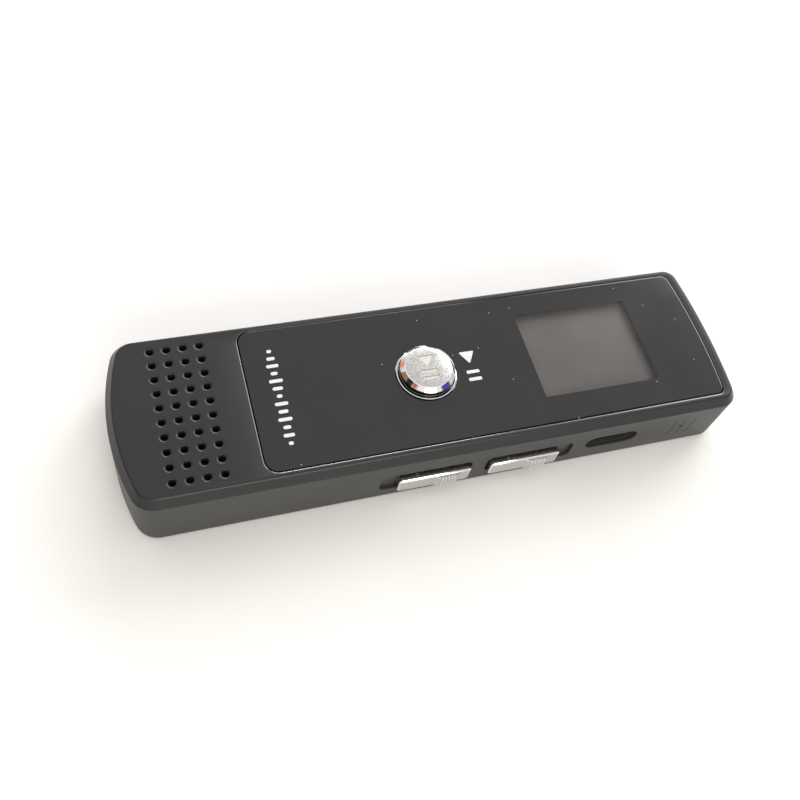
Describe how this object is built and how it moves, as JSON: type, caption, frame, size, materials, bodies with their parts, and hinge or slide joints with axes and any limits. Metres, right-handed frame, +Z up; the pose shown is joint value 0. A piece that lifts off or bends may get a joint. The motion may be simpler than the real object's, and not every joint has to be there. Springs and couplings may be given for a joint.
{
  "type": "handheld voice recorder",
  "caption": "Pocket voice recorder: oblong case with a speaker grille, a lens over a display, a round play button, two slide switches and a charging port.",
  "frame": {"origin": "centre of the flat underside, midway between the two bowed ends and the two long sides", "axes": "+X towards the display end, -X towards the speaker end, -Y out through the side with the two slide switches, +Z up through the lens"},
  "size_m": [0.095, 0.0282, 0.0129],
  "materials": {
    "cover_metal": "fine blasted black anodised, with bright-cut edges",
    "case_metal": "fine blasted black anodised",
    "screw_steel": "blackened small screws",
    "lens_gloss": "smooth dark lens, printed black behind, clear over the display",
    "adhesive_film": "thin double-sided film",
    "foam": "soft black foam",
    "display_glass": "grey unlit display glass",
    "white_plastic": "white moulded light guide",
    "flex_film": "amber flexible circuit",
    "connector_plastic": "cream connector moulding",
    "chrome_plate": "bright polished plating",
    "satin_metal": "fine blasted silver with a polished bevel",
    "black_plastic": "black moulding",
    "spring_steel": "thin spring steel",
    "switch_metal": "plated pressed can",
    "board_green": "green solder mask on glass fibre",
    "chip_black": "black moulded package",
    "capacitor_tan": "ceramic with tinned ends",
    "battery_wrap": "silver pouch",
    "lead_wrap": "insulated wire",
    "mic_can": "small pressed can",
    "mic_rubber": "soft black boot",
    "mesh_cloth": "black acoustic mesh",
    "speaker_plastic": "black basket",
    "cone_film": "thin formed film",
    "magnet_steel": "nickel plated magnet cup"
  },
  "bodies": {
    "case": {"top_cover": "cover_metal", "bottom_case": "case_metal", "case_screws": "screw_steel", "lens_panel": "lens_gloss", "lens_adhesive": "adhesive_film", "display_gasket": "foam", "display_glass": "display_glass", "display_backlight": "white_plastic", "display_cushion": "foam", "display_flex": "flex_film", "flex_connector": "connector_plastic", "button_ring": "chrome_plate", "push_switch_body": "black_plastic", "push_switch_dome": "spring_steel", "record_switch_body": "switch_metal", "power_switch_body": "switch_metal", "circuit_board": "board_green", "main_processor": "chip_black", "flash_memory": "chip_black", "audio_amplifier": "chip_black", "clock_crystal": "switch_metal", "voltage_regulator": "chip_black", "chip_capacitors": "capacitor_tan", "port_shell": "switch_metal", "port_tongue": "black_plastic", "microphone_boot": "mic_rubber", "microphone_capsule": "mic_can", "battery_cell": "battery_wrap", "battery_tape": "adhesive_film", "battery_guard_board": "board_green", "battery_leads": "lead_wrap", "speaker_mesh": "mesh_cloth", "speaker_gasket": "foam", "speaker_frame": "speaker_plastic", "speaker_cone": "cone_film", "speaker_magnet": "magnet_steel", "speaker_leads": "lead_wrap"},
    "play_button": {"play_button": "satin_metal", "push_switch_plunger": "black_plastic"},
    "record_slider": {"record_knob": "chrome_plate", "record_carrier": "black_plastic", "record_switch_lever": "black_plastic"},
    "power_slider": {"power_knob": "chrome_plate", "power_carrier": "black_plastic", "power_switch_lever": "black_plastic"}
  },
  "joints": [
    {"name": "play_press", "type": "slide", "parent": "case", "child": "play_button", "axis": [0, 0, -1], "range_m": [0, 0.00035], "stiffness_N_per_m": 350, "springref_m": -0.001, "deforming": ["push_switch_dome"]},
    {"name": "record_slide", "type": "slide", "parent": "case", "child": "record_slider", "axis": [1, 0, 0], "range_m": [-0.0022, 0]},
    {"name": "power_slide", "type": "slide", "parent": "case", "child": "power_slider", "axis": [1, 0, 0], "range_m": [0, 0.0022]}
  ]
}
